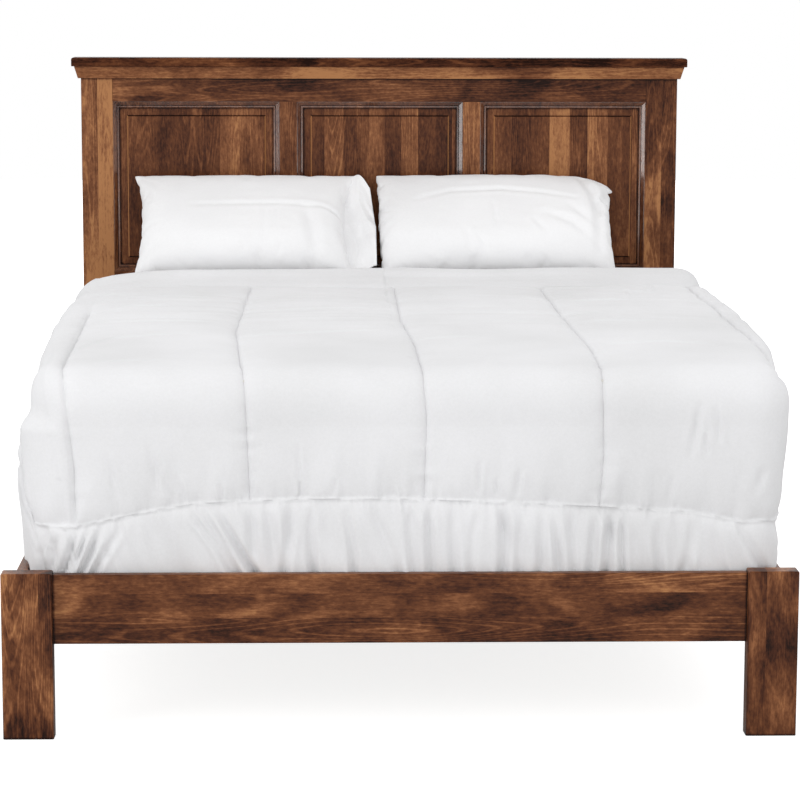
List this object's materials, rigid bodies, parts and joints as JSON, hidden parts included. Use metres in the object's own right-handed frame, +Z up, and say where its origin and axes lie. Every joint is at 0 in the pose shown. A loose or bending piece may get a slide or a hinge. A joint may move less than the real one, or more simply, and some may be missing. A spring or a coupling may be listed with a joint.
{
  "type": "panel bed",
  "caption": "Stained wood bed with a crowned headboard of raised panels, a low footboard with block legs, slats, box spring, mattress, quilted comforter and leaning pillows.",
  "frame": {"origin": "on the floor under the middle of the bed's bounding box", "axes": "+Z up, +Y from the foot to the headboard along the bed's length, +X to the right seen from the foot"},
  "size_m": [1.698, 2.18, 1.343],
  "materials": {
    "stained_wood": "satin",
    "panel_wood": "satin",
    "support_wood": "matte",
    "zinc_steel": "satin",
    "box_spring_cover": "matte",
    "mattress_cover": "matte",
    "comforter_cotton": "matte",
    "pillow_cotton": "matte"
  },
  "bodies": {
    "bed_frame": {"headboard_post_left": "stained_wood", "headboard_post_right": "stained_wood", "headboard_top_rail": "stained_wood", "headboard_middle_rail": "stained_wood", "headboard_lower_rail": "stained_wood", "mullion_left": "stained_wood", "mullion_right": "stained_wood", "panel_moulding_left": "stained_wood", "panel_moulding_center": "stained_wood", "panel_moulding_right": "stained_wood", "crown_cap": "stained_wood", "crown_cove_front": "stained_wood", "crown_cove_left": "stained_wood", "crown_cove_right": "stained_wood", "footboard_leg_left": "stained_wood", "footboard_leg_right": "stained_wood", "foot_rail": "stained_wood", "side_rail_left": "stained_wood", "side_rail_right": "stained_wood", "raised_panel_left": "panel_wood", "raised_panel_center": "panel_wood", "raised_panel_right": "panel_wood", "slat_cleat_left": "support_wood", "slat_cleat_right": "support_wood", "slat_1": "support_wood", "slat_2": "support_wood", "slat_3": "support_wood", "slat_4": "support_wood", "slat_5": "support_wood", "center_leg_front": "support_wood", "center_leg_back": "support_wood", "rail_hook_plates": "zinc_steel", "post_slot_plates": "zinc_steel", "bracket_screws": "zinc_steel", "slat_screws": "zinc_steel", "cleat_screws": "zinc_steel", "center_leg_screws": "zinc_steel"},
    "box_spring": {"box_spring": "box_spring_cover"},
    "mattress": {"mattress": "mattress_cover"},
    "comforter": {"comforter": "comforter_cotton"},
    "pillow_left": {"pillow_left": "pillow_cotton"},
    "pillow_right": {"pillow_right": "pillow_cotton"}
  },
  "joints": [
    {"name": "box_spring_lift", "type": "slide", "parent": "bed_frame", "child": "box_spring", "axis": [0, 0, 1], "range_m": [0, 0.2]},
    {"name": "mattress_lift", "type": "slide", "parent": "box_spring", "child": "mattress", "axis": [0, 0, 1], "range_m": [0, 0.25]},
    {"name": "comforter_lift", "type": "slide", "parent": "mattress", "child": "comforter", "axis": [0, 0, 1], "range_m": [0, 0.5]},
    {"name": "pillow_left_lift", "type": "slide", "parent": "mattress", "child": "pillow_left", "axis": [0, 0, 1], "range_m": [0, 0.3]},
    {"name": "pillow_right_lift", "type": "slide", "parent": "mattress", "child": "pillow_right", "axis": [0, 0, 1], "range_m": [0, 0.3]}
  ]
}
